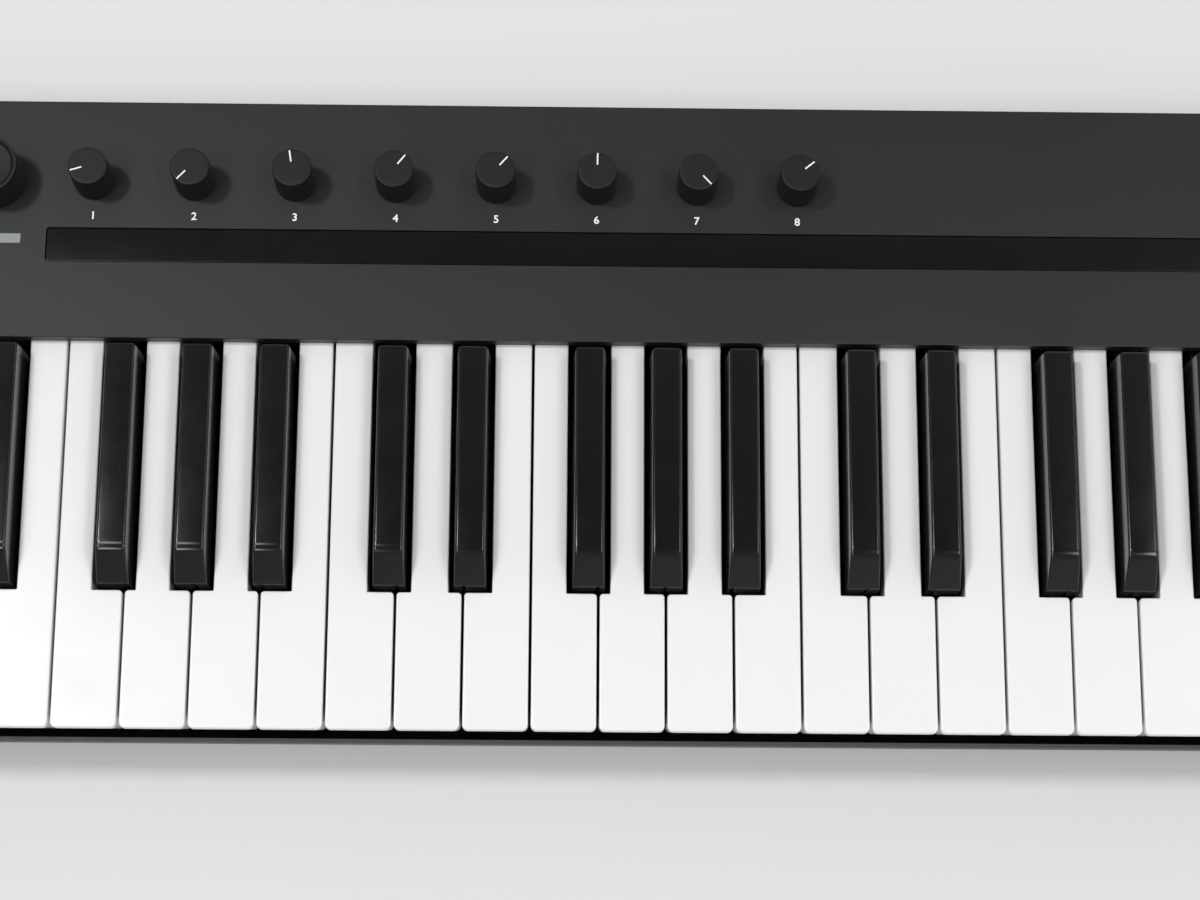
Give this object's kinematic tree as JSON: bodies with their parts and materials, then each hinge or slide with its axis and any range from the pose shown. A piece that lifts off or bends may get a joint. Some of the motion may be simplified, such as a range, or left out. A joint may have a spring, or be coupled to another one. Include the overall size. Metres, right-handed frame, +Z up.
{
  "type": "midi keyboard",
  "caption": "Flat MIDI keyboard with piano-style sprung keys, turning control knobs, an encoder, a long display strip, pitch and modulation wheels and rear sockets.",
  "frame": {"origin": "middle of the footprint, at the height of the soles of the feet", "axes": "+X to the player's right along the keys, +Y from the player to the rear, +Z up"},
  "size_m": [0.625, 0.2276, 0.081],
  "materials": {
    "white_key_plastic": "gloss",
    "black_key_plastic": "gloss",
    "knob_plastic": "satin",
    "case_plastic": "fine grain",
    "panel_metal": "satin paint",
    "display_glass": "gloss",
    "frame_plastic": "matte",
    "rod_steel": "ground",
    "spring_steel": "rolled",
    "board": "solder mask",
    "pot_metal": "stamped",
    "socket_plastic": "matte",
    "foot_rubber": "matte",
    "screw_steel": "black oxide"
  },
  "bodies": {
    "case": {"bottom_case": "case_plastic", "top_panel": "panel_metal", "display_window": "display_glass", "key_frame": "frame_plastic", "pivot_rods": "rod_steel", "key_spring_comb": "spring_steel", "circuit_boards": "board", "knob_potentiometers": "pot_metal", "rear_sockets": "socket_plastic", "rubber_feet": "foot_rubber", "case_screws": "screw_steel"},
    "white_key_c3": {"white_key_c3": "white_key_plastic"},
    "black_key_c_sharp_3": {"black_key_c_sharp_3": "black_key_plastic"},
    "white_key_d3": {"white_key_d3": "white_key_plastic"},
    "black_key_d_sharp_3": {"black_key_d_sharp_3": "black_key_plastic"},
    "white_key_e3": {"white_key_e3": "white_key_plastic"},
    "white_key_f3": {"white_key_f3": "white_key_plastic"},
    "black_key_f_sharp_3": {"black_key_f_sharp_3": "black_key_plastic"},
    "white_key_g3": {"white_key_g3": "white_key_plastic"},
    "black_key_g_sharp_3": {"black_key_g_sharp_3": "black_key_plastic"},
    "white_key_a3": {"white_key_a3": "white_key_plastic"},
    "black_key_a_sharp_3": {"black_key_a_sharp_3": "black_key_plastic"},
    "white_key_b3": {"white_key_b3": "white_key_plastic"},
    "white_key_c4": {"white_key_c4": "white_key_plastic"},
    "black_key_c_sharp_4": {"black_key_c_sharp_4": "black_key_plastic"},
    "white_key_d4": {"white_key_d4": "white_key_plastic"},
    "black_key_d_sharp_4": {"black_key_d_sharp_4": "black_key_plastic"},
    "white_key_e4": {"white_key_e4": "white_key_plastic"},
    "white_key_f4": {"white_key_f4": "white_key_plastic"},
    "black_key_f_sharp_4": {"black_key_f_sharp_4": "black_key_plastic"},
    "white_key_g4": {"white_key_g4": "white_key_plastic"},
    "black_key_g_sharp_4": {"black_key_g_sharp_4": "black_key_plastic"},
    "white_key_a4": {"white_key_a4": "white_key_plastic"},
    "black_key_a_sharp_4": {"black_key_a_sharp_4": "black_key_plastic"},
    "white_key_b4": {"white_key_b4": "white_key_plastic"},
    "white_key_c5": {"white_key_c5": "white_key_plastic"},
    "black_key_c_sharp_5": {"black_key_c_sharp_5": "black_key_plastic"},
    "white_key_d5": {"white_key_d5": "white_key_plastic"},
    "black_key_d_sharp_5": {"black_key_d_sharp_5": "black_key_plastic"},
    "white_key_e5": {"white_key_e5": "white_key_plastic"},
    "white_key_f5": {"white_key_f5": "white_key_plastic"},
    "black_key_f_sharp_5": {"black_key_f_sharp_5": "black_key_plastic"},
    "white_key_g5": {"white_key_g5": "white_key_plastic"},
    "black_key_g_sharp_5": {"black_key_g_sharp_5": "black_key_plastic"},
    "white_key_a5": {"white_key_a5": "white_key_plastic"},
    "black_key_a_sharp_5": {"black_key_a_sharp_5": "black_key_plastic"},
    "white_key_b5": {"white_key_b5": "white_key_plastic"},
    "white_key_c6": {"white_key_c6": "white_key_plastic"},
    "knob_1": {"knob_1": "knob_plastic"},
    "knob_2": {"knob_2": "knob_plastic"},
    "knob_3": {"knob_3": "knob_plastic"},
    "knob_4": {"knob_4": "knob_plastic"},
    "knob_5": {"knob_5": "knob_plastic"},
    "knob_6": {"knob_6": "knob_plastic"},
    "knob_7": {"knob_7": "knob_plastic"},
    "knob_8": {"knob_8": "knob_plastic"},
    "value_encoder": {"value_encoder": "knob_plastic"},
    "pitch_wheel": {"pitch_wheel": "knob_plastic"},
    "mod_wheel": {"mod_wheel": "knob_plastic"},
    "octave_rocker": {"octave_rocker": "knob_plastic"}
  },
  "joints": [
    {"name": "pitch_wheel_bend", "type": "hinge", "parent": "case", "child": "pitch_wheel", "pos_m": [-0.283, -0.03975, 0.051], "axis": [-1, 0, 0], "range_deg": [-32, 32], "stiffness_Nm_per_rad": 0.08},
    {"name": "mod_wheel_turn", "type": "hinge", "parent": "case", "child": "mod_wheel", "pos_m": [-0.245, -0.03975, 0.051], "axis": [-1, 0, 0], "range_deg": [0, 64]},
    {"name": "octave_rocker_tip", "type": "hinge", "parent": "case", "child": "octave_rocker", "pos_m": [-0.264, 0.02025, 0.0548], "axis": [0, 1, 0], "range_deg": [-4, 4], "stiffness_Nm_per_rad": 0.3},
    {"name": "value_encoder_turn", "type": "hinge", "parent": "case", "child": "value_encoder", "pos_m": [-0.1722, 0.08365, 0.064], "axis": [0, 0, 1], "continuous": true},
    {"name": "knob_1_turn", "type": "hinge", "parent": "case", "child": "knob_1", "pos_m": [-0.13677, 0.08365, 0.064], "axis": [0, 0, 1], "range_deg": [-257, 43]},
    {"name": "knob_2_turn", "type": "hinge", "parent": "case", "child": "knob_2", "pos_m": [-0.10091, 0.08365, 0.064], "axis": [0, 0, 1], "range_deg": [-287, 13]},
    {"name": "knob_3_turn", "type": "hinge", "parent": "case", "child": "knob_3", "pos_m": [-0.06505, 0.08365, 0.064], "axis": [0, 0, 1], "range_deg": [-159, 141]},
    {"name": "knob_4_turn", "type": "hinge", "parent": "case", "child": "knob_4", "pos_m": [-0.02919, 0.08365, 0.064], "axis": [0, 0, 1], "range_deg": [-112, 188]},
    {"name": "knob_5_turn", "type": "hinge", "parent": "case", "child": "knob_5", "pos_m": [0.00667, 0.08365, 0.064], "axis": [0, 0, 1], "range_deg": [-109, 191]},
    {"name": "knob_6_turn", "type": "hinge", "parent": "case", "child": "knob_6", "pos_m": [0.04253, 0.08365, 0.064], "axis": [0, 0, 1], "range_deg": [-149, 151]},
    {"name": "knob_7_turn", "type": "hinge", "parent": "case", "child": "knob_7", "pos_m": [0.07839, 0.08365, 0.064], "axis": [0, 0, 1], "range_deg": [-13, 287]},
    {"name": "knob_8_turn", "type": "hinge", "parent": "case", "child": "knob_8", "pos_m": [0.11425, 0.08365, 0.064], "axis": [0, 0, 1], "range_deg": [-99, 201]},
    {"name": "white_c3_press", "type": "hinge", "parent": "case", "child": "white_key_c3", "pos_m": [0, 0.04635, 0.05], "axis": [1, 0, 0], "range_deg": [0, 3.6], "stiffness_Nm_per_rad": 0.6, "springref_deg": -8.02},
    {"name": "black_c_sharp_3_press", "type": "hinge", "parent": "case", "child": "black_key_c_sharp_3", "pos_m": [0, 0.04635, 0.05], "axis": [1, 0, 0], "range_deg": [0, 3.6], "stiffness_Nm_per_rad": 0.45, "springref_deg": -8.02},
    {"name": "white_d3_press", "type": "hinge", "parent": "case", "child": "white_key_d3", "pos_m": [0, 0.04635, 0.05], "axis": [1, 0, 0], "range_deg": [0, 3.6], "stiffness_Nm_per_rad": 0.6, "springref_deg": -8.02},
    {"name": "black_d_sharp_3_press", "type": "hinge", "parent": "case", "child": "black_key_d_sharp_3", "pos_m": [0, 0.04635, 0.05], "axis": [1, 0, 0], "range_deg": [0, 3.6], "stiffness_Nm_per_rad": 0.45, "springref_deg": -8.02},
    {"name": "white_e3_press", "type": "hinge", "parent": "case", "child": "white_key_e3", "pos_m": [0, 0.04635, 0.05], "axis": [1, 0, 0], "range_deg": [0, 3.6], "stiffness_Nm_per_rad": 0.6, "springref_deg": -8.02},
    {"name": "white_f3_press", "type": "hinge", "parent": "case", "child": "white_key_f3", "pos_m": [0, 0.04635, 0.05], "axis": [1, 0, 0], "range_deg": [0, 3.6], "stiffness_Nm_per_rad": 0.6, "springref_deg": -8.02},
    {"name": "black_f_sharp_3_press", "type": "hinge", "parent": "case", "child": "black_key_f_sharp_3", "pos_m": [0, 0.04635, 0.05], "axis": [1, 0, 0], "range_deg": [0, 3.6], "stiffness_Nm_per_rad": 0.45, "springref_deg": -8.02},
    {"name": "white_g3_press", "type": "hinge", "parent": "case", "child": "white_key_g3", "pos_m": [0, 0.04635, 0.05], "axis": [1, 0, 0], "range_deg": [0, 3.6], "stiffness_Nm_per_rad": 0.6, "springref_deg": -8.02},
    {"name": "black_g_sharp_3_press", "type": "hinge", "parent": "case", "child": "black_key_g_sharp_3", "pos_m": [0, 0.04635, 0.05], "axis": [1, 0, 0], "range_deg": [0, 3.6], "stiffness_Nm_per_rad": 0.45, "springref_deg": -8.02},
    {"name": "white_a3_press", "type": "hinge", "parent": "case", "child": "white_key_a3", "pos_m": [0, 0.04635, 0.05], "axis": [1, 0, 0], "range_deg": [0, 3.6], "stiffness_Nm_per_rad": 0.6, "springref_deg": -8.02},
    {"name": "black_a_sharp_3_press", "type": "hinge", "parent": "case", "child": "black_key_a_sharp_3", "pos_m": [0, 0.04635, 0.05], "axis": [1, 0, 0], "range_deg": [0, 3.6], "stiffness_Nm_per_rad": 0.45, "springref_deg": -8.02},
    {"name": "white_b3_press", "type": "hinge", "parent": "case", "child": "white_key_b3", "pos_m": [0, 0.04635, 0.05], "axis": [1, 0, 0], "range_deg": [0, 3.6], "stiffness_Nm_per_rad": 0.6, "springref_deg": -8.02},
    {"name": "white_c4_press", "type": "hinge", "parent": "case", "child": "white_key_c4", "pos_m": [0, 0.04635, 0.05], "axis": [1, 0, 0], "range_deg": [0, 3.6], "stiffness_Nm_per_rad": 0.6, "springref_deg": -8.02},
    {"name": "black_c_sharp_4_press", "type": "hinge", "parent": "case", "child": "black_key_c_sharp_4", "pos_m": [0, 0.04635, 0.05], "axis": [1, 0, 0], "range_deg": [0, 3.6], "stiffness_Nm_per_rad": 0.45, "springref_deg": -8.02},
    {"name": "white_d4_press", "type": "hinge", "parent": "case", "child": "white_key_d4", "pos_m": [0, 0.04635, 0.05], "axis": [1, 0, 0], "range_deg": [0, 3.6], "stiffness_Nm_per_rad": 0.6, "springref_deg": -8.02},
    {"name": "black_d_sharp_4_press", "type": "hinge", "parent": "case", "child": "black_key_d_sharp_4", "pos_m": [0, 0.04635, 0.05], "axis": [1, 0, 0], "range_deg": [0, 3.6], "stiffness_Nm_per_rad": 0.45, "springref_deg": -8.02},
    {"name": "white_e4_press", "type": "hinge", "parent": "case", "child": "white_key_e4", "pos_m": [0, 0.04635, 0.05], "axis": [1, 0, 0], "range_deg": [0, 3.6], "stiffness_Nm_per_rad": 0.6, "springref_deg": -8.02},
    {"name": "white_f4_press", "type": "hinge", "parent": "case", "child": "white_key_f4", "pos_m": [0, 0.04635, 0.05], "axis": [1, 0, 0], "range_deg": [0, 3.6], "stiffness_Nm_per_rad": 0.6, "springref_deg": -8.02},
    {"name": "black_f_sharp_4_press", "type": "hinge", "parent": "case", "child": "black_key_f_sharp_4", "pos_m": [0, 0.04635, 0.05], "axis": [1, 0, 0], "range_deg": [0, 3.6], "stiffness_Nm_per_rad": 0.45, "springref_deg": -8.02},
    {"name": "white_g4_press", "type": "hinge", "parent": "case", "child": "white_key_g4", "pos_m": [0, 0.04635, 0.05], "axis": [1, 0, 0], "range_deg": [0, 3.6], "stiffness_Nm_per_rad": 0.6, "springref_deg": -8.02},
    {"name": "black_g_sharp_4_press", "type": "hinge", "parent": "case", "child": "black_key_g_sharp_4", "pos_m": [0, 0.04635, 0.05], "axis": [1, 0, 0], "range_deg": [0, 3.6], "stiffness_Nm_per_rad": 0.45, "springref_deg": -8.02},
    {"name": "white_a4_press", "type": "hinge", "parent": "case", "child": "white_key_a4", "pos_m": [0, 0.04635, 0.05], "axis": [1, 0, 0], "range_deg": [0, 3.6], "stiffness_Nm_per_rad": 0.6, "springref_deg": -8.02},
    {"name": "black_a_sharp_4_press", "type": "hinge", "parent": "case", "child": "black_key_a_sharp_4", "pos_m": [0, 0.04635, 0.05], "axis": [1, 0, 0], "range_deg": [0, 3.6], "stiffness_Nm_per_rad": 0.45, "springref_deg": -8.02},
    {"name": "white_b4_press", "type": "hinge", "parent": "case", "child": "white_key_b4", "pos_m": [0, 0.04635, 0.05], "axis": [1, 0, 0], "range_deg": [0, 3.6], "stiffness_Nm_per_rad": 0.6, "springref_deg": -8.02},
    {"name": "white_c5_press", "type": "hinge", "parent": "case", "child": "white_key_c5", "pos_m": [0, 0.04635, 0.05], "axis": [1, 0, 0], "range_deg": [0, 3.6], "stiffness_Nm_per_rad": 0.6, "springref_deg": -8.02},
    {"name": "black_c_sharp_5_press", "type": "hinge", "parent": "case", "child": "black_key_c_sharp_5", "pos_m": [0, 0.04635, 0.05], "axis": [1, 0, 0], "range_deg": [0, 3.6], "stiffness_Nm_per_rad": 0.45, "springref_deg": -8.02},
    {"name": "white_d5_press", "type": "hinge", "parent": "case", "child": "white_key_d5", "pos_m": [0, 0.04635, 0.05], "axis": [1, 0, 0], "range_deg": [0, 3.6], "stiffness_Nm_per_rad": 0.6, "springref_deg": -8.02},
    {"name": "black_d_sharp_5_press", "type": "hinge", "parent": "case", "child": "black_key_d_sharp_5", "pos_m": [0, 0.04635, 0.05], "axis": [1, 0, 0], "range_deg": [0, 3.6], "stiffness_Nm_per_rad": 0.45, "springref_deg": -8.02},
    {"name": "white_e5_press", "type": "hinge", "parent": "case", "child": "white_key_e5", "pos_m": [0, 0.04635, 0.05], "axis": [1, 0, 0], "range_deg": [0, 3.6], "stiffness_Nm_per_rad": 0.6, "springref_deg": -8.02},
    {"name": "white_f5_press", "type": "hinge", "parent": "case", "child": "white_key_f5", "pos_m": [0, 0.04635, 0.05], "axis": [1, 0, 0], "range_deg": [0, 3.6], "stiffness_Nm_per_rad": 0.6, "springref_deg": -8.02},
    {"name": "black_f_sharp_5_press", "type": "hinge", "parent": "case", "child": "black_key_f_sharp_5", "pos_m": [0, 0.04635, 0.05], "axis": [1, 0, 0], "range_deg": [0, 3.6], "stiffness_Nm_per_rad": 0.45, "springref_deg": -8.02},
    {"name": "white_g5_press", "type": "hinge", "parent": "case", "child": "white_key_g5", "pos_m": [0, 0.04635, 0.05], "axis": [1, 0, 0], "range_deg": [0, 3.6], "stiffness_Nm_per_rad": 0.6, "springref_deg": -8.02},
    {"name": "black_g_sharp_5_press", "type": "hinge", "parent": "case", "child": "black_key_g_sharp_5", "pos_m": [0, 0.04635, 0.05], "axis": [1, 0, 0], "range_deg": [0, 3.6], "stiffness_Nm_per_rad": 0.45, "springref_deg": -8.02},
    {"name": "white_a5_press", "type": "hinge", "parent": "case", "child": "white_key_a5", "pos_m": [0, 0.04635, 0.05], "axis": [1, 0, 0], "range_deg": [0, 3.6], "stiffness_Nm_per_rad": 0.6, "springref_deg": -8.02},
    {"name": "black_a_sharp_5_press", "type": "hinge", "parent": "case", "child": "black_key_a_sharp_5", "pos_m": [0, 0.04635, 0.05], "axis": [1, 0, 0], "range_deg": [0, 3.6], "stiffness_Nm_per_rad": 0.45, "springref_deg": -8.02},
    {"name": "white_b5_press", "type": "hinge", "parent": "case", "child": "white_key_b5", "pos_m": [0, 0.04635, 0.05], "axis": [1, 0, 0], "range_deg": [0, 3.6], "stiffness_Nm_per_rad": 0.6, "springref_deg": -8.02},
    {"name": "white_c6_press", "type": "hinge", "parent": "case", "child": "white_key_c6", "pos_m": [0, 0.04635, 0.05], "axis": [1, 0, 0], "range_deg": [0, 3.6], "stiffness_Nm_per_rad": 0.6, "springref_deg": -8.02}
  ]
}
